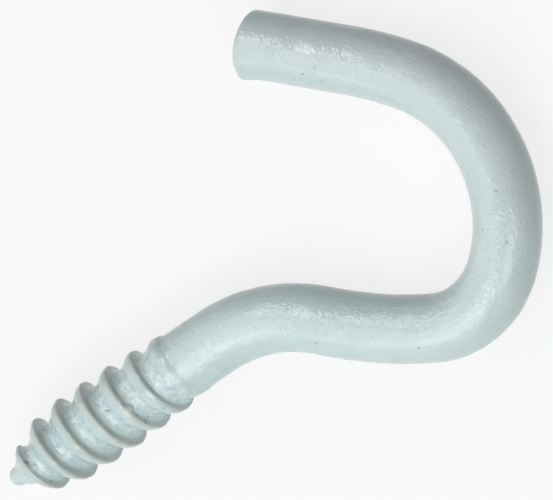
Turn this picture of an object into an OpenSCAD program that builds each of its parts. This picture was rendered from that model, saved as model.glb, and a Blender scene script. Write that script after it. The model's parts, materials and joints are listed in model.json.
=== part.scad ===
// Screw hook: one length of round steel wire, with a wood-screw thread rolled on
// one end and the other end bent into an open hook, under one coat of white paint.
// The hook lies flat in the XY plane. The screw runs along X with its point
// towards -X, and the origin is on the screw's axis where the thread meets the
// plain wire. Sizes are in millimetres and include the paint.

/* [Wire] */
// Diameter of the painted wire
wire_d = 3.1; // [2.9:0.05:3.3]
// Radius of the rim round the cut end of the arm
rim_r = 0.3; // [0.1:0.05:0.5]

/* [Screw] */
// Length from the tip to the plain wire
thread_length = 10.3; // [9.8:0.1:11.4]
// Distance from one turn of the thread to the next
pitch = 1.47; // [1.35:0.01:1.6]
// Diameter over the crests
crest_d = 3.84; // [3.6:0.02:4]
// Diameter of the core between the crests
core_d = 2.8; // [2.6:0.02:2.9]
// Width of the land on top of the crest
land_w = 0.38; // [0.24:0.02:0.46]
// Slope of the flank on the point's side, away from square to the axis
front_flank = 40; // [25:1:42]
// Slope of the flank on the hook's side, away from square to the axis
back_flank = 14; // [8:1:25]
// Length of the tapered point
point_length = 3.9; // [3.2:0.1:4.6]
// Radius of the blunt tip
tip_r = 0.42; // [0.3:0.02:0.5]

/* [Bends] */
// Straight wire between the thread and the first bend
shank_length = 2; // [1.6:0.1:3]
// Offset bend, which sets the hook back over the screw's axis: radius
offset_r = 7.6; // [7:0.1:9]
// Offset bend: angle
offset_angle = 42; // [38:1:44]
// Seat, the gentle run on the screw's side: radius
seat_r = 20.8; // [18:0.2:24]
// Seat: angle
seat_angle = 14.5; // [12:0.5:17]
// Heel, the tightest bend: radius
heel_r = 3.9; // [3.6:0.1:4.6]
// Heel: angle
heel_angle = 69.5; // [66:0.5:72]
// Crown, the large bend: radius
crown_r = 6.85; // [6.4:0.05:7.4]
// Crown: angle
crown_angle = 88; // [84:1:90]
// Easing bend from the crown into the arm: radius
ease_r = 18; // [15:0.5:22]
// Easing bend: angle
ease_angle = 9; // [7:0.5:12]
// Straight arm, as far as its cut end
arm_length = 5.1; // [4:0.1:6]

/* [Hidden] */
$fn = 72;

wire_r = wire_d / 2;
core_r = core_d / 2;
crest_r = crest_d / 2;
paint_color = [0.80, 0.87, 0.87];

// The first, third and fifth bends are a hair thinner than the wire and reach a
// little way into their neighbours, so no two stretches meet in faces that only touch.
hair = 0.02;
reach = 0.04;

steps_per_turn = 32;
run_in = 0.5;                  // where the ridge starts, from the tip
run_out = 0.85 * pitch;        // how far the ridge fades along the plain wire
ridge_steps = round((thread_length - run_in + run_out) / pitch * steps_per_turn);
ridge_angle = 77;              // where the ridge crosses the end of the thread
sink = 0.16;                   // how deep the ridge's foot lies in the core
corner = 0.08;                 // rounding of the ridge's two edges
shoulder = 1.6;                // length over which the core swells to the wire

// Radius of the core at a distance from the tip
function core_radius(along) = lookup(along, [
    [tip_r, tip_r],
    [point_length, core_r],
    [thread_length - shoulder, core_r],
    [thread_length - 0.5 * shoulder, core_r + 0.25 * (wire_r - core_r)],
    [thread_length, wire_r]
]);

// Radius of the crest at a distance from the tip: it grows out of the point, and
// sinks back into the plain wire
function crest_radius(along) = lookup(along, [
    [run_in, 0.9 * tip_r],
    [0.26 * point_length, 0.5 * crest_r],
    [0.41 * point_length, 0.73 * crest_r],
    [0.62 * point_length, 0.91 * crest_r],
    [0.82 * point_length, crest_r],
    [thread_length - 3 * pitch, crest_r],
    [thread_length - 0.5 * pitch, 0.94 * crest_r],
    [thread_length, 0.88 * crest_r],
    [thread_length + 0.7 * run_out, 1.01 * wire_r],
    [thread_length + run_out, wire_r - sink]
]);

// Points on an arc about a centre, from one angle to another
function arc(centre, radius, from, to, steps = 8) =
    [for (i = [0:steps]) let (a = from + (to - from) * i / steps)
        centre + radius * [cos(a), sin(a)]];

// The ridge's section at one step round the helix: [across, radius] at its foot on
// the point's side, over the land with its edges eased, to its foot on the hook's side
function ridge_section(top, foot) =
    let (half = land_w / 2, depth = top - foot)
    [
        [-half - depth * tan(front_flank), foot],
        [-half - corner * tan(front_flank), top - corner],
        [-half + corner, top],
        [half - corner, top],
        [half + corner * tan(back_flank), top - corner],
        [half + depth * tan(back_flank), foot]
    ];

function ridge_ring(i) =
    let (along = run_in + pitch * i / steps_per_turn,
         x = along - thread_length,
         angle = ridge_angle + 360 * x / pitch,
         top = crest_radius(along),
         foot = min(core_radius(along), top - corner) - sink)
    [for (p = ridge_section(top, foot)) [x + p.x, p.y * cos(angle), p.y * sin(angle)]];

// Skin of a tube through rings of equally many points, with both ends closed
module skin(rings) {
    sides = len(rings[0]);
    last = len(rings) - 1;
    polyhedron(
        points = [for (ring = rings) each ring],
        faces = [
            [for (k = [sides - 1:-1:0]) k],
            [for (k = [0:sides - 1]) last * sides + k],
            for (i = [0:last - 1], k = [0:sides - 1])
                let (a = i * sides + k, b = i * sides + (k + 1) % sides)
                each [[a, b, a + sides], [b, b + sides, a + sides]]
        ]
    );
}

// Turns an outline of [radius, distance] about the X axis
module turned(outline) {
    rotate([0, 90, 0]) rotate_extrude() polygon(outline);
}

// Core of the screw and the straight shank in one: blunt tip, tapered point,
// plain core, shoulder and plain wire
module core_and_shank() {
    translate([-thread_length, 0, 0])
        turned(concat(
            arc([0, tip_r], tip_r, -90, 0),
            [[core_r, point_length],
             [core_r, thread_length - shoulder],
             [core_radius(thread_length - 0.5 * shoulder), thread_length - 0.5 * shoulder],
             [wire_r, thread_length],
             [wire_r, thread_length + shank_length],
             [0, thread_length + shank_length]]
        ));
}

// Helical ridge that stands on the core
module ridge() {
    skin([for (i = [0:ridge_steps]) ridge_ring(i)]);
}

// Bend of the wire from the origin: to the left for side = 1 and to the right for
// side = -1. What follows is placed at its far end.
module bend(radius, angle, side = 1, thin = false) {
    section_r = thin ? wire_r - hair : wire_r;
    extra = thin ? reach * 180 / (PI * radius) : 0;
    swept = angle + 2 * extra;
    translate([0, side * radius, 0])
        rotate([0, 0, side > 0 ? -90 - extra : 90 + extra - swept])
            rotate_extrude(angle = swept) translate([radius, 0]) circle(r = section_r);
    translate([0, side * radius, 0])
        rotate([0, 0, side * angle])
            translate([0, -side * radius, 0])
                children();
}

// Straight arm with the rounded rim of its cut end
module arm() {
    turned(concat(
        [[0, 0], [wire_r, 0]],
        arc([wire_r - rim_r, arm_length - rim_r], rim_r, 0, 90),
        [[0, arm_length]]
    ));
}

module screw_hook() {
    color(paint_color) {
        core_and_shank();
        ridge();
        translate([shank_length, 0, 0])
            bend(offset_r, offset_angle, side = -1, thin = true)
                bend(seat_r, seat_angle)
                    bend(heel_r, heel_angle, thin = true)
                        bend(crown_r, crown_angle)
                            bend(ease_r, ease_angle, thin = true)
                                arm();
    }
}

screw_hook();
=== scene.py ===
"""Screw hook: one bent wire with a wood-screw thread, under a thick coat of white paint.

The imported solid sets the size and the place. This script winds the thread, sweeps
the wire through its bends, gives the skin the lumps, runs and pits of the paint, and
sets a soft studio and the camera round it. Lengths are in millimetres, and angles in
degrees, until a mesh is finished.
"""

import json
import logging
import math
from bisect import bisect_right
from dataclasses import dataclass, field
from enum import Enum

import bmesh
import bpy
from bmesh.types import BMEdge, BMesh, BMVert
from mathutils import Matrix, Vector, kdtree, noise
from mathutils.bvhtree import BVHTree

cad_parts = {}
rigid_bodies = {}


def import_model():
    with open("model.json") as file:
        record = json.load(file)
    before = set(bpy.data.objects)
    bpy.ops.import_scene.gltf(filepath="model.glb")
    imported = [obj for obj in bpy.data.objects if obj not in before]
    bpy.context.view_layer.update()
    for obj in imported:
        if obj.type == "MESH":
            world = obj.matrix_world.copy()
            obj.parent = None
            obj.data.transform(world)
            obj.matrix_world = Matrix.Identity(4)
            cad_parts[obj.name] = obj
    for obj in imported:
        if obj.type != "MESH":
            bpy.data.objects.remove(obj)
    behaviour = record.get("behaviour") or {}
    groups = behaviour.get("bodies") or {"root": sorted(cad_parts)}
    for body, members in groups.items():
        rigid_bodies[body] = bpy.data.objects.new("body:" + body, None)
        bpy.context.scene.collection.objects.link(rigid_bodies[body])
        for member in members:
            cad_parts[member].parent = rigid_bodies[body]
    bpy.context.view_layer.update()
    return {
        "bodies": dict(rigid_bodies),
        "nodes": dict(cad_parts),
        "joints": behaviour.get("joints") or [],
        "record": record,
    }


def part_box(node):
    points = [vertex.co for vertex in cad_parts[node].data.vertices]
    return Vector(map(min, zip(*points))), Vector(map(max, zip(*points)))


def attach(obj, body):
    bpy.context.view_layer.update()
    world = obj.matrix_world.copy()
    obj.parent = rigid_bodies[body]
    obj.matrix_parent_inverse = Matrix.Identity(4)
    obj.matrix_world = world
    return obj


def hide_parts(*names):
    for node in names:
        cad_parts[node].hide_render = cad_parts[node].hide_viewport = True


MM = 0.001
NODE = "screw_hook"
EDGE_LAYER = "edge"
LIP_LAYER = "lip"
ROOT_LAYER = "root"
STRAIGHT_LAYER = "straight"
LOG = logging.getLogger("screw_hook")

Colour = tuple[float, float, float, float]
Lumps = tuple[tuple[float, float], ...]
Socket = bpy.types.NodeSocket
Value = Socket | float
Given = Socket | float | tuple[float, ...] | Vector


class Turn(Enum):
    """Side that a bend turns to, seen from above."""

    LEFT = 1
    RIGHT = -1


class Relief(Enum):
    """What a local mark does to the paint's surface."""

    BLOB = 1
    PIT = -1


@dataclass(frozen=True)
class Bend:
    """One bend of the wire, by the radius of its centre line."""

    radius: float
    angle: float
    turn: Turn = Turn.LEFT


@dataclass(frozen=True)
class Mark:
    """A local blob or pit in the paint.

    along is the distance along the centre line from the thread's end, round the angle
    about it from the in-plane left towards up, and radius the distance from it.
    """

    relief: Relief
    along: float
    round: float
    radius: float
    size: float
    height: float


@dataclass(frozen=True)
class Speck:
    """A small dark speck or pinhole in the paint, or a spot of painted shade, placed as a mark is.
    """

    along: float
    round: float
    radius: float
    size: float
    depth: float = 0.6


@dataclass(frozen=True)
class Fade:
    """A straight rise from 0 at a start to 1 after a length, which runs on past both."""

    start: float
    length: float

    def at(self, place: float) -> float:
        """The rise at a place."""
        return (place - self.start) / self.length


@dataclass(frozen=True)
class Course:
    """A radius that changes smoothly with the distance from the screw's tip."""

    stations: tuple[tuple[float, float], ...]

    def slope(self, i: int) -> float:
        """Slope of the curve at station i, kept flat at a peak or a dip.

        Args:
            i: The number of the station.

        Returns:
            The slope.
        """
        if i in (0, len(self.stations) - 1):
            return 0.0
        (x0, y0), (x1, y1), (x2, y2) = self.stations[i - 1:i + 2]
        before, after = (y1 - y0) / (x1 - x0), (y2 - y1) / (x2 - x1)
        if before * after <= 0:
            return 0.0
        return 2 * before * after / (before + after)

    def at(self, along: float) -> float:
        """The radius at a distance from the tip.

        Args:
            along: Distance from the tip.

        Returns:
            The radius, by a cubic through the stations that never overshoots them.
        """
        xs = [x for x, _ in self.stations]
        if along <= xs[0]:
            return self.stations[0][1]
        if along >= xs[-1]:
            return self.stations[-1][1]
        i = bisect_right(xs, along) - 1
        (x0, y0), (x1, y1) = self.stations[i:i + 2]
        span = x1 - x0
        t = (along - x0) / span
        a, b = self.slope(i) * span, self.slope(i + 1) * span
        return (
            y0 * (1 + 2 * t) * (1 - t) ** 2
            + a * t * (1 - t) ** 2
            + y1 * t * t * (3 - 2 * t)
            - b * t * t * (1 - t)
        )


def clamped(value: float) -> float:
    """A value held between 0 and 1."""
    return min(1.0, max(0.0, value))


def bump(distance: float, width: float) -> float:
    """A smooth bump, 1 at its middle and about a third at its width."""
    return math.exp(-(distance / width) ** 2)


def grow(bm: BMesh, ring: list[BMEdge], move: Matrix) -> list[BMEdge]:
    """Extrudes a ring of edges and moves the new ring.

    Args:
        bm: The mesh that holds the ring.
        ring: The open ring of edges.
        move: Where the new ring goes, from the old one.

    Returns:
        The edges of the new ring.
    """
    made = bmesh.ops.extrude_edge_only(bm, edges=ring)["geom"]
    verts = {g for g in made if isinstance(g, BMVert)}
    bmesh.ops.transform(bm, matrix=move, verts=list(verts))
    return [g for g in made if isinstance(g, BMEdge) and set(g.verts) <= verts]


def about(centre: Vector, inner: Matrix) -> Matrix:
    """A transform done about a point in place of the origin."""
    return Matrix.Translation(centre) @ inner @ Matrix.Translation(-centre)


def shrink(axis: Vector, factor: float) -> Matrix:
    """Scales by factor square to a unit axis, and leaves lengths along it."""
    return Matrix.Scale(factor, 4) @ Matrix.Scale(1 / factor, 4, axis)


def joined(first: BMesh, second: BMesh) -> BMesh:
    """Puts one mesh's geometry into another.

    Args:
        first: The mesh that takes the other in.
        second: The mesh that is used up.

    Returns:
        The first mesh, with both in it.
    """
    carrier = bpy.data.meshes.new("carrier")
    second.to_mesh(carrier)
    second.free()
    first.from_mesh(carrier)
    bpy.data.meshes.remove(carrier)
    return first


@dataclass
class Thread:
    """The wound ridge and its core, from the tip to the end of the shank.

    land is the crest's width, meniscus how far the paint fills the foot of the flank
    towards the hook, pool how much deeper it stands in the roots on one side, and
    wobble how uneven the crest is. The four root fades say where the roots' lumps and
    their painted shade begin: behind and ahead of a ridge, from the tip and from the shank.
    """

    length: float
    wire_r: float
    shank: float = 2.0
    pitch: float = 1.47
    crest_r: float = 1.92
    core_r: float = 1.40
    tip_r: float = 0.46
    land: float = 0.30
    lip_drop: float = 0.06
    front_flank: float = 45.0
    back_flank: float = 14.0
    ridge_angle: float = 90.0
    run_in: float = 1.9
    run_out: float = 9.9
    run_length: float = 0.7
    run_width: float = 1.1
    wobble: float = 0.035
    lean: float = 0.25
    pool: float = 0.08
    pool_angle: float = 100.0
    meniscus: float = 0.20
    edge_width: float = 0.10
    lip_width: float = 0.27
    root_behind: Fade = Fade(0.27, 0.26)
    root_ahead: Fade = Fade(0.22, 0.30)
    root_tip: Fade = Fade(0.9, 0.6)
    root_shank: Fade = Fade(-0.5, 1.0)
    sides: int = 96
    mesh_step: float = 0.062

    @property
    def depth(self) -> float:
        """Height of the full ridge over the core."""
        return self.crest_r - self.core_r

    @property
    def core(self) -> Course:
        """Radius of the core from the tip to the plain wire.

        Returns:
            The course of the radius.
        """
        return Course((
            (self.tip_r, self.tip_r),
            (0.9, 0.70),
            (1.8, 0.95),
            (2.7, 1.13),
            (3.5, 1.29),
            (4.8, self.core_r),
            (self.length - 1.7, self.core_r),
            (self.length - 0.8, self.core_r + 0.05),
            (self.length, self.wire_r),
        ))

    @property
    def crest(self) -> Course:
        """Radius of the crest from the tip until it sinks into the plain wire.

        Returns:
            The course of the radius.
        """
        return Course((
            (0.45, self.tip_r),
            (1.0, 0.98),
            (1.6, 1.42),
            (2.4, 1.70),
            (3.2, 1.87),
            (4.5, self.crest_r),
            (6.0, self.crest_r),
            (7.5, self.crest_r - 0.06),
            (8.6, self.crest_r - 0.10),
            (9.6, self.crest_r - 0.15),
            (10.0, self.crest_r - 0.23),
            (10.4, self.crest_r - 0.29),
            (10.8, self.crest_r - 0.33),
            (11.3, self.wire_r),
        ))

    def across(self, point: Vector) -> float:
        """How far a point lies from the ridge's middle, along the screw.

        Args:
            point: The place on the thread.

        Returns:
            The distance, positive towards the hook.
        """
        angle = math.degrees(math.atan2(point.z, point.y))
        turns = point.x / self.pitch - (angle - self.ridge_angle) / 360
        return (turns - round(turns)) * self.pitch

    def strength(self, x: float) -> float:
        """How fully the ridge stands at a place along the screw, from 0 to 1.

        Args:
            x: The place, from the thread's end.

        Returns:
            The share of the full ridge's height.
        """
        along = x + self.length
        height = self.crest.at(along) - self.core.at(along)
        return clamped(height / self.depth)

    def paint_layers(self, bm: BMesh) -> None:
        """Writes where the paint is thin, where it is lumpy and where shade is painted, from 0 to
        1 a vertex.

        The lip layer is 1 on the crest, where the paint is thin, the edge layer on the
        crest's edge towards the hook, where it is worn, and the root layer between the
        ridges, where the paint stands in lumps and where its colour is darkened as painted shade.

        Args:
            bm: The mesh to write in.
        """
        edge = bm.verts.layers.float.new(EDGE_LAYER)
        lip = bm.verts.layers.float.new(LIP_LAYER)
        root = bm.verts.layers.float.new(ROOT_LAYER)
        for vert in bm.verts:
            x = vert.co.x
            if x > 1.0 or math.hypot(vert.co.y, vert.co.z) > 1.1 * self.crest_r:
                continue
            strength, across = self.strength(x), self.across(vert.co)
            vert[edge] = strength * bump(across - self.land / 2 + 0.03, self.edge_width)
            vert[lip] = strength * bump(across + 0.02, self.lip_width)
            behind, ahead = self.root_behind.at(across), self.root_ahead.at(-across)
            ends = min(self.root_tip.at(x + self.length), self.root_shank.at(-x))
            share = clamped(min(max(behind, ahead, 1 - 2 * strength), ends))
            vert[root] = share * share * (3 - 2 * share)

    def soft_share(self, along: float, across: float, share: float) -> float:
        """Rounds the section off where the ridge starts and where it runs out.

        Args:
            along: Distance from the tip.
            across: Distance from the ridge's middle.
            share: How far the sharp section stands out of the core, from 0 to 1.

        Returns:
            The same for the section as it is there.
        """
        past = max(along - self.run_out, 0.6 * (self.run_in - along))
        swell = math.cos(math.pi * min(0.5, abs(across + 0.05) / self.run_width)) ** 2
        return share + clamped(past / self.run_length) * (swell - share)

    def profile(self, bm: BMesh, start: float) -> list[BMEdge]:
        """Draws one pitch of the section, with every corner rounded.

        Args:
            bm: The mesh to draw in.
            start: Where the ridge's middle lies along the screw.

        Returns:
            The section's edges, in the plane z = 0 on the side of +Y.
        """
        half = self.land / 2
        lip = half + self.lip_drop
        front = lip + self.depth * math.tan(math.radians(self.front_flank))
        back = half + self.depth * math.tan(math.radians(self.back_flank))
        seam = back + 0.5 * (self.pitch - front - back)
        corners = (
            (seam - self.pitch, self.core_r, 0.0),
            (-front, self.core_r, 0.30),
            (-lip, self.crest_r - self.lip_drop, 0.19),
            (half, self.crest_r, 0.11),
            (back, self.core_r, 0.15),
            (seam, self.core_r, 0.0),
        )
        verts = [bm.verts.new((start + x, y, 0)) for x, y, _ in corners]
        for a, b in zip(verts, verts[1:]):
            bm.edges.new((a, b))
        for vert, (_, _, rounding) in zip(verts, corners):
            if rounding:
                bmesh.ops.bevel(
                    bm, geom=[vert], offset=rounding, offset_type="OFFSET", segments=5,
                    profile=0.5, affect="VERTICES", material=-1, clamp_overlap=True,
                )
        for edge in list(bm.edges):
            cuts = math.ceil(edge.calc_length() / self.mesh_step) - 1
            if cuts > 0:
                bmesh.ops.subdivide_edges(bm, edges=[edge], cuts=cuts)
        return list(bm.edges)

    def wind(self, bm: BMesh) -> None:
        """Winds the section into one turn and repeats it, past both of the thread's ends.

        Args:
            bm: An empty mesh.
        """
        turns_before = math.ceil(self.length / self.pitch) + 1
        start = -(self.ridge_angle / 360 + turns_before) * self.pitch
        turns = math.ceil((self.shank - start) / self.pitch) + 1
        section = self.profile(bm, start)
        bmesh.ops.spin(
            bm, geom=section + list(bm.verts), cent=(0, 0, 0), axis=(1, 0, 0),
            dvec=(self.pitch / self.sides, 0, 0), angle=math.radians(360),
            steps=self.sides, use_merge=False, use_duplicate=False,
        )
        turn = list(bm.verts) + list(bm.edges) + list(bm.faces)
        for i in range(1, turns):
            copy = bmesh.ops.duplicate(bm, geom=turn)["geom"]
            verts = [g for g in copy if isinstance(g, BMVert)]
            bmesh.ops.translate(bm, vec=(i * self.pitch, 0, 0), verts=verts)
        bmesh.ops.remove_doubles(bm, verts=list(bm.verts), dist=0.002)

    def fit_radii(self, bm: BMesh) -> None:
        """Draws the wound section in to the core's and the crest's true radii.

        Args:
            bm: The wound mesh.
        """
        core, crest = self.core, self.crest
        for vert in bm.verts:
            along = vert.co.x + self.length
            radius = math.hypot(vert.co.y, vert.co.z)
            share = (radius - self.core_r) / self.depth
            across = self.across(vert.co)
            if not self.run_in < along < self.run_out:
                share = self.soft_share(along, across, share)
            share += self.filled(across, share)
            low = core.at(along) + self.pooled(vert.co)
            high = max(low, crest.at(along) + self.unevenness(vert.co))
            factor = (low + share * (high - low)) / radius
            vert.co.y *= factor
            vert.co.z *= factor

    def pooled(self, point: Vector) -> float:
        """How much deeper the paint stands in a root on the side where it ran together."""
        angle = math.atan2(point.z, point.y) - math.radians(self.pool_angle)
        return self.pool * self.strength(point.x) * max(0.0, math.cos(angle)) ** 2

    def filled(self, across: float, share: float) -> float:
        """How far the paint fills the foot of the flank towards the hook, as a share."""
        foot = self.land / 2 + self.depth * math.tan(math.radians(self.back_flank))
        return self.meniscus * bump(across - foot, 0.16) * max(0.0, 1 - share) ** 2

    def unevenness(self, point: Vector) -> float:
        """How much a crest stands over or under its even radius at a point.

        Args:
            point: The place on the thread.

        Returns:
            The height, positive outwards.
        """
        unit = Vector((0, point.y, point.z)).normalized()
        place = Vector((point.x * 0.8, unit.y * 1.3, unit.z * 1.3))
        return self.wobble * noise.noise(place) * self.strength(point.x)

    def cut(self, bm: BMesh, x: float, keep_right: bool) -> list[BMEdge]:
        """Cuts the thread square at x and leaves one vertex a side there.

        Args:
            bm: The mesh to cut.
            x: Where to cut, along the screw.
            keep_right: Whether the part towards +X stays.

        Returns:
            The ring of edges round the cut.
        """
        bmesh.ops.bisect_plane(
            bm, geom=list(bm.verts) + list(bm.edges) + list(bm.faces), dist=1e-5,
            plane_co=(x, 0, 0), plane_no=(1, 0, 0),
            clear_inner=keep_right, clear_outer=not keep_right,
        )
        step = 360 / self.sides
        spare = []
        for vert in bm.verts:
            if abs(vert.co.x - x) < 1e-4:
                places = math.degrees(math.atan2(vert.co.z, vert.co.y)) / step
                if abs(places - round(places)) > 0.01:
                    spare.append(vert)
        bmesh.ops.dissolve_verts(bm, verts=spare)
        return [e for e in bm.edges if all(abs(v.co.x - x) < 1e-4 for v in e.verts)]

    def round_tip(self, bm: BMesh, ring: list[BMEdge], steps: int = 7) -> None:
        """Closes the point with a blunt dome.

        Args:
            bm: The mesh to close.
            ring: The ring where the dome starts.
            steps: Rings in the dome.
        """
        root = self.tip_r - self.length
        before = 0.0
        for i in range(1, steps + 1):
            angle = math.radians(88) * i / steps
            factor = math.cos(angle) / math.cos(before)
            centre = Vector((root - self.tip_r * math.sin(before), 0, 0))
            move = self.tip_r * (math.sin(angle) - math.sin(before))
            squeeze = about(centre, shrink(Vector((1, 0, 0)), factor))
            ring = grow(bm, ring, Matrix.Translation((-move, 0, 0)) @ squeeze)
            before = angle
        bmesh.ops.edgeloop_fill(bm, edges=ring)

    def build(self) -> BMesh:
        """Makes the thread and the shank, open at the shank's far end.

        Returns:
            The mesh.
        """
        bm = bmesh.new()
        self.wind(bm)
        self.fit_radii(bm)
        tip = self.cut(bm, self.tip_r - self.length, keep_right=True)
        self.round_tip(bm, tip)
        self.cut(bm, self.shank, keep_right=False)
        slope = math.tan(math.radians(self.lean))
        for vert in bm.verts:
            vert.co.y -= slope * (self.shank - vert.co.x)
        return bm


@dataclass
class Wire:
    """The plain wire: its bends, its arm and the arm's cut end."""

    wire_r: float
    shank: float
    arm: float = 5.1
    rim_r: float = 0.3
    slant: float = 3.5
    slant_length: float = 1.4
    sides: int = 96
    ring_gap: float = 0.1
    bends: tuple[Bend, ...] = (
        Bend(7.6, 42.0, Turn.RIGHT),
        Bend(20.8, 14.5),
        Bend(3.9, 69.5),
        Bend(6.85, 88.0),
        Bend(18.0, 9.0),
    )

    def steps(self, length: float) -> int:
        """How many rings a stretch of wire gets."""
        return max(1, round(length / self.ring_gap))

    def course(self, along: float) -> Matrix:
        """The wire's own frame at a distance along its centre line.

        Args:
            along: Distance from the thread's end.

        Returns:
            A frame whose X runs along the wire and whose Y is its in-plane left.
        """
        if along <= self.shank:
            return Matrix.Translation((along, 0, 0))
        frame = Matrix.Translation((self.shank, 0, 0))
        left = along - self.shank
        for bend in self.bends:
            length = math.radians(bend.angle) * bend.radius
            part = min(left, length) / length
            frame = frame @ self.swing(bend, part)
            left -= length
            if left <= 0:
                return frame
        return frame @ Matrix.Translation((left, 0, 0))

    @staticmethod
    def swing(bend: Bend, part: float = 1.0) -> Matrix:
        """The move from a bend's start to a part of the way round it.

        Args:
            bend: The bend.
            part: How far round it, from 0 to 1.

        Returns:
            The move, in the frame at its start.
        """
        side = bend.turn.value
        turn = Matrix.Rotation(side * math.radians(bend.angle) * part, 4, "Z")
        return about(Vector((0, side * bend.radius, 0)), turn)

    def total(self) -> float:
        """Length of the centre line from the thread's end to the arm's end."""
        return self.shank + self.arm + sum(math.radians(b.angle) * b.radius for b in self.bends)

    def surface(self, along: float, round_angle: float, radius: float) -> Vector:
        """A point on the wire or the thread.

        Args:
            along: Distance along the centre line from the thread's end.
            round_angle: Angle about it, from the in-plane left towards up.
            radius: Distance from the centre line.

        Returns:
            The point.
        """
        angle = math.radians(round_angle)
        return self.course(along) @ Vector((0, radius * math.cos(angle), radius * math.sin(angle)))

    def write_straight(self, bm: BMesh, gap: float = 0.1) -> None:
        """Writes each vertex's place on the wire as it was before it was bent.

        Args:
            bm: The whole skin.
            gap: Distance between the places tried along the centre line.
        """
        layer = bm.verts.layers.float_vector.new(STRAIGHT_LAYER)
        count = math.ceil((self.total() - self.shank) / gap) + 1
        places = [self.shank + gap * i for i in range(count)]
        frames = [self.course(along) for along in places]
        tree = kdtree.KDTree(len(frames))
        for i, frame in enumerate(frames):
            tree.insert(frame.translation, i)
        tree.balance()
        backs = [frame.inverted() for frame in frames]
        for vert in bm.verts:
            if vert.co.x <= self.shank and abs(vert.co.y) < 2 * self.wire_r:
                vert[layer] = vert.co * MM
                continue
            i = tree.find(vert.co)[1]
            local = backs[i] @ vert.co
            vert[layer] = (local + Vector((places[i], 0, 0))) * MM

    def sweep(self, bm: BMesh) -> list[BMEdge]:
        """Carries a ring from the shank's end through the bends and along the arm.

        Args:
            bm: An empty mesh.

        Returns:
            The ring where the arm's rim starts.
        """
        frame = Matrix.Translation((self.shank, 0, 0))
        bmesh.ops.create_circle(
            bm, segments=self.sides, radius=self.wire_r,
            matrix=frame @ Matrix.Rotation(math.radians(90), 4, "Y"),
        )
        ring = list(bm.edges)
        for bend in self.bends:
            side = bend.turn.value
            sweep = math.radians(bend.angle)
            made = bmesh.ops.spin(
                bm, geom=ring, cent=frame @ Vector((0, side * bend.radius, 0)),
                axis=(0, 0, side), dvec=(0, 0, 0), angle=sweep,
                steps=self.steps(sweep * bend.radius), use_merge=False, use_duplicate=False,
            )["geom_last"]
            ring = [g for g in made if isinstance(g, BMEdge)]
            frame = frame @ self.swing(bend)
        ahead = frame.to_3x3() @ Vector((1, 0, 0))
        straight = self.arm - self.rim_r
        count = self.steps(straight)
        for _ in range(count):
            ring = grow(bm, ring, Matrix.Translation(ahead * straight / count))
        return ring

    def close_arm(self, bm: BMesh, ring: list[BMEdge], steps: int = 6) -> None:
        """Rounds the rim of the arm's cut end and fills the end.

        Args:
            bm: The mesh to close.
            ring: The ring where the rim starts.
            steps: Rings round the rim.
        """
        end = self.course(self.total())
        ahead = end.to_3x3() @ Vector((1, 0, 0))
        centre = end @ Vector((-self.rim_r, 0, 0))
        inner = self.wire_r - self.rim_r
        radius, depth = self.wire_r, 0.0
        stations = [
            (inner + self.rim_r * math.cos(a), self.rim_r * math.sin(a))
            for a in (math.radians(90 * i / steps) for i in range(1, steps + 1))
        ]
        rings = self.steps(inner) - 1
        stations += [(inner * (1 - i / (rings + 1)), self.rim_r) for i in range(1, rings + 1)]
        for new_radius, new_depth in stations:
            squeeze = about(centre, shrink(ahead, new_radius / radius))
            ring = grow(bm, ring, Matrix.Translation(ahead * (new_depth - depth)) @ squeeze)
            radius, depth = new_radius, new_depth
        bmesh.ops.edgeloop_fill(bm, edges=ring)

    def slant_arm(self, bm: BMesh) -> None:
        """Leans the arm's end face, as the shears left it.

        Args:
            bm: The wire.
        """
        end = self.course(self.total())
        back = end.inverted()
        lean = math.tan(math.radians(self.slant))
        for vert in bm.verts:
            local = back @ vert.co
            if -self.slant_length < local.x < 1 and abs(local.y) < 2 * self.wire_r:
                share = 1 + min(local.x, 0) / self.slant_length
                local.x += lean * local.y * share * share
                vert.co = end @ local

    def build(self) -> BMesh:
        """Makes the bent wire and its arm, open at the shank's end.

        Returns:
            The mesh.
        """
        bm = bmesh.new()
        ring = self.sweep(bm)
        self.close_arm(bm, ring)
        self.slant_arm(bm)
        return bm


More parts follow.
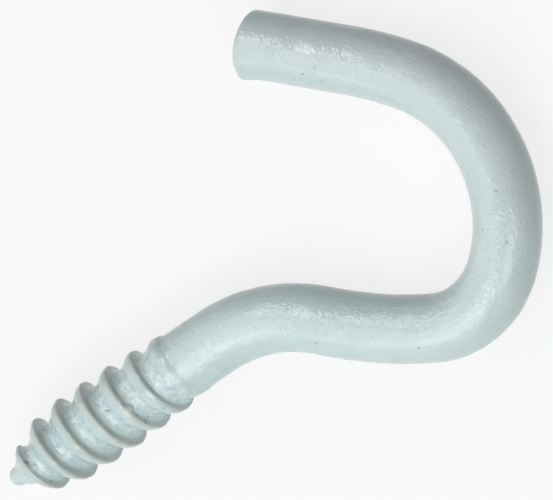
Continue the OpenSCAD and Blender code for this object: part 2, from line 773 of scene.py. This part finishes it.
@dataclass
class PaintCoat:
    """The paint's own relief: soft lumps, runs, blobs and pits.

    Each pair of lumps is the size of a noise and its height.
    """

    wire: Wire
    lumps: Lumps = ((1.6, 0.012), (0.55, 0.008), (0.3, 0.004))
    root_lumps: Lumps = ((0.42, 0.034), (0.24, 0.020))
    ridge_lumps: Lumps = ((0.75, 0.035), (0.32, 0.018))
    reach: float = 2.2
    marks: tuple[Mark, ...] = (
        Mark(Relief.BLOB, -8.36, 106, 1.00, 0.13, 0.20),
        Mark(Relief.BLOB, -8.50, 82, 0.98, 0.07, 0.10),
        Mark(Relief.BLOB, -8.44, 104, 1.25, 0.12, 0.22),
        Mark(Relief.BLOB, -2.28, 103, 1.52, 0.12, 0.08),
        Mark(Relief.BLOB, -2.32, 115, 1.48, 0.13, 0.08),
        Mark(Relief.BLOB, -2.58, 110, 1.66, 0.13, 0.22),
        Mark(Relief.BLOB, -2.46, 118, 1.56, 0.10, 0.07),
        Mark(Relief.BLOB, -0.82, 94, 1.49, 0.12, 0.06),
        Mark(Relief.BLOB, -0.53, 119, 1.56, 0.12, 0.06),
        Mark(Relief.PIT, -8.55, 82, 1.13, 0.12, 0.10),
        Mark(Relief.PIT, -2.40, 143, 1.55, 0.10, 0.07),
        Mark(Relief.BLOB, 5.85, 10, 1.55, 0.10, 0.04),
        Mark(Relief.BLOB, 21.99, 113, 1.55, 0.05, 0.02),
        Mark(Relief.BLOB, 35.45, 14, 1.55, 0.34, 0.06),
        Mark(Relief.BLOB, 35.80, 12, 1.50, 0.30, 0.10),
        Mark(Relief.BLOB, 35.95, 79, 1.50, 0.09, 0.04),
    )

    @staticmethod
    def lumpy(point: Vector, lumps: Lumps) -> float:
        """Adds up noises, each by its size and its height, at a point."""
        return sum(rise * noise.noise(point / size) for size, rise in lumps)

    def lump(self, point: Vector, root: float, ridge: float) -> float:
        """Height of the soft lumps at a point.

        Args:
            point: The place on the skin.
            root: How far it lies between the ridges, from 0 to 1.
            ridge: How far it lies on a ridge, from 0 to 1.

        Returns:
            The height over the even skin.
        """
        height = self.lumpy(point, self.lumps)
        if root:
            height += root * self.lumpy(point, self.root_lumps)
        if ridge:
            height += ridge * self.lumpy(point, self.ridge_lumps)
        return height

    def apply(self, bm: BMesh) -> None:
        """Moves every vertex along its normal by the paint's relief.

        Args:
            bm: The whole skin, with its layers.
        """
        bm.normal_update()
        root, ridge = (bm.verts.layers.float[name] for name in (ROOT_LAYER, LIP_LAYER))
        rise = [self.lump(v.co, v[root], v[ridge]) for v in bm.verts]
        tree = kdtree.KDTree(len(bm.verts))
        for i, vert in enumerate(bm.verts):
            tree.insert(vert.co, i)
        tree.balance()
        for mark in self.marks:
            centre = self.wire.surface(mark.along, mark.round, mark.radius)
            for _, i, distance in tree.find_range(centre, self.reach * mark.size):
                rise[i] += mark.relief.value * mark.height * bump(distance, mark.size)
        moves = [v.normal * r for v, r in zip(bm.verts, rise)]
        for vert, move in zip(bm.verts, moves):
            vert.co += move


@dataclass
class NodeSheet:
    """Short ways to add and join the nodes of one tree."""

    tree: bpy.types.NodeTree

    def add(
        self, kind: str, inputs: dict[str | int, Given] | None = None, **settings: object
    ) -> bpy.types.Node:
        """Adds a node.

        Args:
            kind: The node's type.
            inputs: Socket name or number to a plain value or to the socket to join.
            **settings: Properties of the node itself.

        Returns:
            The new node.
        """
        node = self.tree.nodes.new(kind)
        for name, value in settings.items():
            setattr(node, name, value)
        for name, value in (inputs or {}).items():
            if isinstance(value, Socket):
                self.tree.links.new(value, node.inputs[name])
            else:
                node.inputs[name].default_value = value
        return node

    def math(self, operation: str, *values: Value) -> Socket:
        """Adds a math node on plain values or sockets and gives its output."""
        node = self.add("ShaderNodeMath", dict(enumerate(values)), operation=operation)
        return node.outputs[0]

    def ramp(self, value: Value, low: float, high: float) -> Socket:
        """Adds a smooth step from 0 at low to 1 at high.

        Args:
            value: What is faded.
            low: Where the step starts.
            high: Where it ends.

        Returns:
            The faded value.
        """
        node = self.add(
            "ShaderNodeMapRange",
            {"Value": value, "From Min": low, "From Max": high},
            interpolation_type="SMOOTHSTEP",
        )
        return node.outputs["Result"]

    def blend(self, factor: Value, first: Given, second: Given) -> Socket:
        """Adds a colour mix, from the first at 0 to the second at 1."""
        node = self.add("ShaderNodeMix", {0: factor, 6: first, 7: second}, data_type="RGBA")
        return node.outputs[2]

    def attribute(self, name: str, output: str = "Fac") -> Socket:
        """Adds a reader of one of the mesh's own layers."""
        return self.add("ShaderNodeAttribute", attribute_name=name).outputs[output]

    def noise(self, place: Socket, size: float, detail: float) -> Socket:
        """Adds a noise whose features are about size wide, in millimetres."""
        given = {"Vector": place, "Scale": 1 / (size * MM), "Detail": detail}
        return self.add("ShaderNodeTexNoise", given).outputs["Fac"]


def speck_group() -> bpy.types.NodeTree:
    """Builds the group that masks one round speck.

    Returns:
        The group, from a place, a centre and a radius to a mask.
    """
    tree = bpy.data.node_groups.new("round_speck", "ShaderNodeTree")
    for name, kind in (("Place", "NodeSocketVector"), ("Centre", "NodeSocketVector"),
                       ("Radius", "NodeSocketFloat")):
        tree.interface.new_socket(name, in_out="INPUT", socket_type=kind)
    tree.interface.new_socket("Mask", in_out="OUTPUT", socket_type="NodeSocketFloat")
    sheet = NodeSheet(tree)
    given = sheet.add("NodeGroupInput").outputs
    ends = {0: given["Place"], 1: given["Centre"]}
    gap = sheet.add("ShaderNodeVectorMath", ends, operation="DISTANCE")
    share = sheet.math("DIVIDE", gap.outputs["Value"], given["Radius"])
    sheet.add("NodeGroupOutput", {"Mask": sheet.ramp(share, 1.0, 0.35)})
    return tree


@dataclass(frozen=True)
class Mottle:
    """An uneven mask, by a noise's size and detail and the levels it fades in between."""

    size: float
    detail: float
    low: float
    high: float
    strength: float = 1.0

    def mask(self, sheet: NodeSheet, place: Socket) -> Socket:
        """Adds the mask's nodes."""
        faded = sheet.ramp(sheet.noise(place, self.size, self.detail), self.low, self.high)
        return sheet.math("MULTIPLY", faded, self.strength)


@dataclass(frozen=True)
class Grain:
    """A fine relief in the paint: how wide its bumps are, and how high as a share."""

    size: float
    height: float

    def rise(self, sheet: NodeSheet, place: Socket) -> Socket:
        """Adds the relief's nodes."""
        return sheet.math("MULTIPLY", sheet.noise(place, self.size, 1), self.height)


@dataclass(frozen=True)
class WhitePaint:
    """Thick semi-gloss white paint with a cool cast, lumpy and a little dirty.

    peel is the depth that the grains' heights are shares of, and stretch how far the
    coarse grain is drawn out along the wire. The root values are added between the
    thread's ridges, where two of them darken the colour towards the bluish grey as
    painted shade. The speck colour also paints the shade in a hollow near the tip.
    """

    color: Colour = (0.594, 0.69, 0.698, 1)
    screw_color: Colour = (0.559, 0.69, 0.687, 1)
    # The bluish grey of the paint's uneven flecks, and of the painted shade between the ridges.
    mottle_and_root_shade: Colour = (0.33, 0.45, 0.49, 1)
    chalk: Colour = (0.72, 0.82, 0.82, 1)
    thin: Colour = (0.49, 0.58, 0.56, 1)
    bare: Colour = (0.47, 0.47, 0.41, 1)
    # Dark colour of the specks, also used as painted shade in a hollow near the tip.
    speck: Colour = (0.15, 0.15, 0.14, 1)
    cloud: Mottle = Mottle(1.4, 3, 0.35, 0.75, 0.10)
    fleck: Mottle = Mottle(0.26, 2, 0.45, 0.75)
    patch: Mottle = Mottle(0.30, 2, 0.50, 0.62, 0.55)
    wear: Mottle = Mottle(0.6, 2, 0.20, 0.55, 0.65)
    fleck_share: float = 0.10
    thin_share: float = 0.6
    # Painted shade: how far the paint between the ridges is darkened towards the bluish grey,
    # evenly and in flecks.
    root_painted_shade: float = 0.12
    root_shade_fleck: float = 0.40
    peel: float = 0.028
    stretch: float = 2.5
    coarse: Grain = Grain(0.22, 0.7)
    fine: Grain = Grain(0.14, 0.9)
    root_swell: Grain = Grain(0.34, 2.2)
    root_calm: float = 0.5
    calm: Mottle = Mottle(2.0, 1, 0.35, 0.65, 0.6)
    calm_least: float = 0.55
    roughness: float = 0.09
    gloss_size: float = 0.5
    gloss_spread: float = 0.08

    @staticmethod
    def speckled(sheet: NodeSheet, place: Socket, specks: list[tuple[Vector, Speck]]) -> Value:
        """Joins the masks of all the specks.

        Args:
            sheet: The material's nodes.
            place: The socket that gives the place on the object.
            specks: Each speck with its centre, in metres.

        Returns:
            The socket of the joined mask.
        """
        group = speck_group()
        total = 0.0
        for centre, speck in specks:
            given = {"Place": place, "Centre": centre, "Radius": speck.size * MM}
            node = sheet.add("ShaderNodeGroup", given, node_tree=group)
            mask = sheet.math("MULTIPLY", node.outputs["Mask"], speck.depth)
            total = sheet.math("MAXIMUM", total, mask)
        return total

    def tint(self, sheet: NodeSheet, place: Socket, specks: Value) -> Socket:
        """Mixes the paint's colour over the surface, with painted shade between the ridges.

        Args:
            sheet: The material's nodes.
            place: The socket that gives the place on the object.
            specks: The specks' joined mask.

        Returns:
            The socket of the colour.
        """
        root = sheet.attribute(ROOT_LAYER)
        color = sheet.blend(self.drift(sheet, place), self.screw_color, self.color)
        # Between the ridges the colour is darkened as painted shade, evenly and in flecks;
        # elsewhere the flecks and clouds are the paint's own uneven tone.
        cloud = sheet.math("MULTIPLY_ADD", root, self.root_painted_shade, self.cloud.mask(sheet, place))
        fleck_and_root_shade = sheet.math("MULTIPLY_ADD", root, self.root_shade_fleck, self.fleck_share)
        mottle_and_root_shade = sheet.math("MULTIPLY_ADD", self.fleck.mask(sheet, place), fleck_and_root_shade, cloud)
        color = sheet.blend(mottle_and_root_shade, color, self.mottle_and_root_shade)
        patch = sheet.math("MULTIPLY", self.patch.mask(sheet, place), root)
        color = sheet.blend(patch, color, self.chalk)
        thin = sheet.math("MULTIPLY", sheet.attribute(LIP_LAYER), self.thin_share)
        color = sheet.blend(thin, color, self.thin)
        worn = sheet.math("MULTIPLY", sheet.attribute(EDGE_LAYER), self.wear.mask(sheet, place))
        color = sheet.blend(worn, color, self.bare)
        return sheet.blend(specks, color, self.speck)

    @staticmethod
    def drift(sheet: NodeSheet, place: Socket) -> Socket:
        """Builds the paint's slow change of cast, from 0 on the screw to 1 on the crown.

        Args:
            sheet: The material's nodes.
            place: The socket that gives the place on the object.

        Returns:
            The share of the cast on the crown.
        """
        apart = sheet.add("ShaderNodeSeparateXYZ", {0: place}).outputs
        along = sheet.math("MULTIPLY_ADD", apart["Y"], 0.7, apart["X"])
        return sheet.ramp(along, 2 * MM, 21 * MM)

    def relief(self, sheet: NodeSheet, place: Socket, specks: Value) -> Socket:
        """Builds the orange peel, the swells between the ridges and the specks' dents.

        Args:
            sheet: The material's nodes.
            place: The socket that gives the place on the object.
            specks: The specks' joined mask.

        Returns:
            The socket of the bumped normal.
        """
        squeeze = {0: sheet.attribute(STRAIGHT_LAYER, "Vector"), 1: (1 / self.stretch, 1, 1)}
        drawn = sheet.add("ShaderNodeVectorMath", squeeze, operation="MULTIPLY")
        coarse = self.coarse.rise(sheet, drawn.outputs["Vector"])
        peel = sheet.math("ADD", coarse, self.fine.rise(sheet, place))
        calm = sheet.math("ADD", self.calm.mask(sheet, place), self.calm_least)
        root = sheet.attribute(ROOT_LAYER)
        softer = sheet.math("MULTIPLY_ADD", root, -self.root_calm, 1.0)
        skin = sheet.math("MULTIPLY", peel, sheet.math("MULTIPLY", calm, softer))
        swells = sheet.math("MULTIPLY", self.root_swell.rise(sheet, place), root)
        height = sheet.math("SUBTRACT", sheet.math("ADD", skin, swells), specks)
        given = {"Height": height, "Distance": self.peel * MM, "Strength": 1.0}
        return sheet.add("ShaderNodeBump", given).outputs["Normal"]

    def build(self, specks: list[tuple[Vector, Speck]]) -> bpy.types.Material:
        """Makes the paint's material.

        Args:
            specks: Each speck with its centre, in metres.

        Returns:
            The material.
        """
        material = bpy.data.materials.new("white_paint")
        material.use_nodes = True
        sheet = NodeSheet(material.node_tree)
        shader = material.node_tree.nodes["Principled BSDF"]
        place = sheet.add("ShaderNodeTexCoord").outputs["Object"]
        mask = self.speckled(sheet, place, specks)
        dull = sheet.noise(place, self.gloss_size, 2)
        least = self.roughness - self.gloss_spread / 2
        gloss = sheet.math("MULTIPLY_ADD", dull, self.gloss_spread, least)
        for value, name in (
            (self.tint(sheet, place, mask), "Base Color"),
            (sheet.math("MAXIMUM", gloss, mask), "Roughness"),
            (self.relief(sheet, place, mask), "Normal"),
        ):
            material.node_tree.links.new(value, shader.inputs[name])
        return material


@dataclass
class ScrewHook:
    """The whole hook: one painted piece."""

    thread: Thread
    wire: Wire
    paint: WhitePaint = field(default_factory=WhitePaint)
    specks: tuple[Speck, ...] = (
        Speck(31.88, 77, 1.55, 0.09, 0.45),
        Speck(32.50, 59, 1.55, 0.09, 0.45),
        Speck(31.62, 52, 1.55, 0.07, 0.40),
        Speck(30.11, 43, 1.55, 0.07, 0.35),
        Speck(27.53, 129, 1.55, 0.06, 0.40),
        Speck(28.75, 61, 1.55, 0.05, 0.30),
        Speck(20.99, 101, 1.55, 0.09, 0.45),
        Speck(19.29, 68, 1.55, 0.08, 0.40),
        Speck(18.83, 112, 1.55, 0.11, 0.40),
        Speck(17.77, 163, 1.55, 0.07, 0.25),
        Speck(12.73, 119, 1.55, 0.09, 0.45),
        Speck(7.89, 123, 1.55, 0.09, 0.40),
        Speck(11.91, 145, 1.55, 0.05, 0.35),
        Speck(-3.73, 91.8, 1.50, 0.06, 0.75),
        Speck(-3.65, 93.4, 1.51, 0.06, 0.75),
        Speck(-3.56, 95.2, 1.52, 0.06, 0.75),
        Speck(-4.89, 123.1, 1.57, 0.05, 0.70),
        Speck(-4.79, 124.0, 1.61, 0.05, 0.60),
        Speck(-7.13, 47.4, 1.25, 0.07, 0.50),
        Speck(-6.98, 61.0, 1.29, 0.06, 0.30),
        Speck(-8.28, 152.8, 1.30, 0.08, 0.60),
        Speck(-5.34, 113.1, 1.49, 0.06, 0.30),
        Speck(-2.60, 91.0, 1.52, 0.07, 0.45),
        Speck(-1.38, 140.6, 1.78, 0.08, 0.60),
        Speck(-2.36, 146.3, 1.50, 0.09, 0.50),
        Speck(-2.48, 144.3, 1.75, 0.12, 0.40),
        Speck(-2.84, 103.8, 1.83, 0.06, 0.25),
        Speck(-4.95, 76.6, 1.61, 0.06, 0.30),
        Speck(-0.73, -151.2, 1.66, 0.07, 0.50),
        # These three paint the shade in a hollow near the tip as dark colour; the pit mark there
        # gives the dent.
        Speck(-8.57, 84.0, 1.18, 0.17, 0.55),
        Speck(-8.53, 73.0, 1.06, 0.16, 0.45),
        Speck(-8.59, 58.0, 1.02, 0.15, 0.35),
        Speck(-7.02, 81.7, 1.35, 0.07, 0.22),
        Speck(-6.97, 87.0, 1.35, 0.07, 0.25),
        Speck(-6.95, 94.3, 1.38, 0.08, 0.30),
        Speck(-6.94, 101.0, 1.40, 0.08, 0.30),
        Speck(-6.91, 106.5, 1.40, 0.08, 0.30),
        Speck(-6.91, 112.5, 1.40, 0.08, 0.30),
        Speck(-6.84, 115.0, 1.39, 0.08, 0.30),
        Speck(-6.68, 112.8, 1.39, 0.07, 0.25),
        Speck(-6.51, 111.1, 1.46, 0.06, 0.20),
    )

    def speck_centres(self, bm: BMesh) -> list[tuple[Vector, Speck]]:
        """Finds the point on the finished skin that is nearest to each speck.

        Args:
            bm: The skin, in metres.

        Returns:
            Each speck with its centre.
        """
        tree = BVHTree.FromBMesh(bm)
        found = []
        for speck in self.specks:
            guess = self.wire.surface(speck.along, speck.round, speck.radius) * MM
            found.append((tree.find_nearest(guess)[0], speck))
        return found

    def build(self) -> bpy.types.Object:
        """Builds the hook's skin and dresses it.

        Returns:
            The finished object, with its place in its mesh.
        """
        bm = joined(self.thread.build(), self.wire.build())
        bmesh.ops.remove_doubles(bm, verts=list(bm.verts), dist=0.0005)
        bmesh.ops.recalc_face_normals(bm, faces=list(bm.faces))
        self.thread.paint_layers(bm)
        self.wire.write_straight(bm)
        PaintCoat(self.wire).apply(bm)
        bmesh.ops.scale(bm, vec=(MM, MM, MM), verts=list(bm.verts))
        specks = self.speck_centres(bm)
        mesh = bpy.data.meshes.new("painted_hook")
        bm.to_mesh(mesh)
        bm.free()
        mesh.shade_smooth()
        mesh.materials.append(self.paint.build(specks))
        piece = bpy.data.objects.new("painted_hook", mesh)
        bpy.context.scene.collection.objects.link(piece)
        return piece


def seen_rays(sheet: NodeSheet) -> Socket:
    """Gives 1 on camera, mirror and glass rays, and 0 on the rays that carry light.

    Args:
        sheet: The nodes to add it to.

    Returns:
        The socket of the switch.
    """
    path = sheet.add("ShaderNodeLightPath").outputs
    both = sheet.math("MAXIMUM", path["Is Camera Ray"], path["Is Glossy Ray"])
    return sheet.math("MAXIMUM", both, path["Is Transmission Ray"])


@dataclass(frozen=True)
class PaleFloor:
    """Plain white floor, a part of which glows, so that it looks white and keeps a shadow."""

    color: Colour = (0.76, 0.76, 0.76, 1)
    glow: float = 0.80
    roughness: float = 0.9
    specular: float = 0.1

    def build(self) -> bpy.types.Material:
        """Makes the floor's material.

        Returns:
            The material.
        """
        material = bpy.data.materials.new("pale_floor")
        material.use_nodes = True
        sheet = NodeSheet(material.node_tree)
        shader = material.node_tree.nodes["Principled BSDF"]
        shader.inputs["Base Color"].default_value = self.color
        shader.inputs["Roughness"].default_value = self.roughness
        shader.inputs["Specular IOR Level"].default_value = self.specular
        white = sheet.add("ShaderNodeEmission", {"Color": (1, 1, 1, 1), "Strength": 1.0})
        mix = sheet.add("ShaderNodeMixShader", {
            0: sheet.math("MULTIPLY", seen_rays(sheet), self.glow),
            1: shader.outputs["BSDF"],
            2: white.outputs["Emission"],
        })
        out = material.node_tree.nodes["Material Output"]
        material.node_tree.links.new(mix.outputs["Shader"], out.inputs["Surface"])
        return material


@dataclass(frozen=True)
class Panel:
    """A soft light, seen from the hook.

    right and up are the angles from the camera's direction to the panel's middle,
    width and height how wide and high it looks, and spin its turn about its middle.
    glow is how bright its face is, where 1 is white paper in full light.
    """

    name: str
    right: float
    up: float
    width: float
    height: float
    spin: float
    glow: float

    def size(self, distance: float) -> tuple[float, float]:
        """Width and height in metres at a distance.

        Args:
            distance: Distance from the hook, in metres.

        Returns:
            The width and the height.
        """
        return (
            2 * distance * math.tan(math.radians(self.width / 2)),
            2 * distance * math.tan(math.radians(self.height / 2)),
        )

    def power(self, distance: float) -> float:
        """Watts that give the panel its glow at a distance."""
        width, height = self.size(distance)
        return self.glow * math.pi * width * height

    def place(self, distance: float) -> Matrix:
        """The panel's place in the camera's own axes, facing the hook.

        Args:
            distance: Distance from the hook, in metres.

        Returns:
            The place, from the hook.
        """
        sideways = Matrix.Rotation(math.radians(self.right), 4, "Y")
        upwards = Matrix.Rotation(math.radians(-self.up), 4, "X")
        spin = Matrix.Rotation(math.radians(self.spin), 4, "Z")
        return sideways @ upwards @ Matrix.Translation((0, 0, distance)) @ spin


@dataclass
class Studio:
    """Camera, floor and soft light.

    The camera's angles are in degrees. distance is in millimetres, as aim is, and
    panel_distance and floor_r are in metres.
    """

    azimuth: float = 68.006
    elevation: float = 65.074
    roll: float = -100.22
    aim: tuple[float, float, float] = (6.829, 1.901, 0.0)
    distance: float = 304.63
    lens: float = 443.36
    panel_distance: float = 0.4
    floor_r: float = 0.9
    fill: float = 0.02
    panels: tuple[Panel, ...] = (
        Panel("main_softbox", -25, -40, 40, 40, -7, 1.65),
        Panel("near_softbox", -35, -36, 40, 60, 0, 1.27),
        Panel("side_window", -50, 22, 7, 31, 13, 6.6),
        Panel("left_sheet", -77, 6, 60, 35, -25, 1.00),
        Panel("slant_strip", -29, -25, 44, 4.2, -45, 5.2),
        Panel("low_strip", -57, -48, 46, 4, 0, 3.9),
        Panel("right_window", 13, -19, 28, 24, -20, 3.4),
    )

    def facing(self) -> Matrix:
        """The camera's turn: its X is the picture's right and its Z points back.

        Returns:
            The turn, in the world.
        """
        turn = Matrix.Rotation(math.radians(self.azimuth), 4, "Z")
        lift = Matrix.Rotation(math.radians(90 - self.elevation), 4, "X")
        return turn @ lift @ Matrix.Rotation(math.radians(self.roll), 4, "Z")

    def add_camera(self) -> None:
        """Sets the camera, with a long lens, looking down on the hook."""
        data = bpy.data.cameras.new("camera")
        data.lens = self.lens
        data.sensor_width = 36
        data.clip_start = 0.01
        camera = bpy.data.objects.new("camera", data)
        facing = self.facing()
        place = Vector(self.aim) * MM + facing.to_3x3() @ Vector((0, 0, self.distance * MM))
        camera.matrix_world = Matrix.Translation(place) @ facing
        bpy.context.scene.collection.objects.link(camera)
        bpy.context.scene.camera = camera

    def add_panel(self, panel: Panel) -> bpy.types.Object:
        """Sets one soft light, facing the hook.

        Args:
            panel: The light to set.

        Returns:
            The light.
        """
        data = bpy.data.lights.new(panel.name, "AREA")
        data.shape = "RECTANGLE"
        data.size, data.size_y = panel.size(self.panel_distance)
        data.energy = panel.power(self.panel_distance)
        light = bpy.data.objects.new(panel.name, data)
        light.visible_camera = False
        middle = Matrix.Translation(Vector(self.aim) * MM)
        light.matrix_world = middle @ self.facing() @ panel.place(self.panel_distance)
        bpy.context.scene.collection.objects.link(light)
        return light

    def add_floor(self, level: float) -> None:
        """Lays the pale floor.

        Args:
            level: Height of the floor, in metres.
        """
        bm = bmesh.new()
        bmesh.ops.create_circle(bm, cap_ends=True, segments=64, radius=self.floor_r)
        bmesh.ops.translate(bm, vec=(0, 0, level), verts=list(bm.verts))
        mesh = bpy.data.meshes.new("floor")
        bm.to_mesh(mesh)
        bm.free()
        mesh.materials.append(PaleFloor().build())
        floor = bpy.data.objects.new("floor", mesh)
        bpy.context.scene.collection.objects.link(floor)

    def add_world(self) -> None:
        """Sets a white backdrop that gives the hook only a little even light."""
        world = bpy.data.worlds.new("studio")
        world.use_nodes = True
        sheet = NodeSheet(world.node_tree)
        back = world.node_tree.nodes["Background"]
        back.inputs["Color"].default_value = (1, 1, 1, 1)
        seen = seen_rays(sheet)
        strength = sheet.math("ADD", sheet.math("MULTIPLY", seen, 1 - self.fill), self.fill)
        sheet.tree.links.new(strength, back.inputs["Strength"])
        bpy.context.scene.world = world

    def build(self, floor_level: float) -> None:
        """Builds the whole studio.

        Args:
            floor_level: Height of the floor, in metres.
        """
        bpy.context.scene.view_settings.view_transform = "Standard"
        self.add_camera()
        self.add_floor(floor_level)
        self.add_world()
        for panel in self.panels:
            self.add_panel(panel)


def main() -> None:
    """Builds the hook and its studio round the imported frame."""
    logging.basicConfig(level=logging.INFO, format="%(name)s: %(message)s")
    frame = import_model()
    low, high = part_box(NODE)
    mounts = {m["name"]: m for m in frame["record"]["mounts"]}
    wire_r = mounts["arm_end"]["dims"]["r_mm"]
    thread = Thread(length=-low.x / MM, wire_r=wire_r)
    hook = ScrewHook(thread, Wire(wire_r=wire_r, shank=thread.shank))
    piece = hook.build()
    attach(piece, "root")
    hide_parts(NODE)
    LOG.info("%s: %d faces", piece.name, len(piece.data.polygons))
    Studio().build(low.z)


if __name__ == "__main__":
    main()
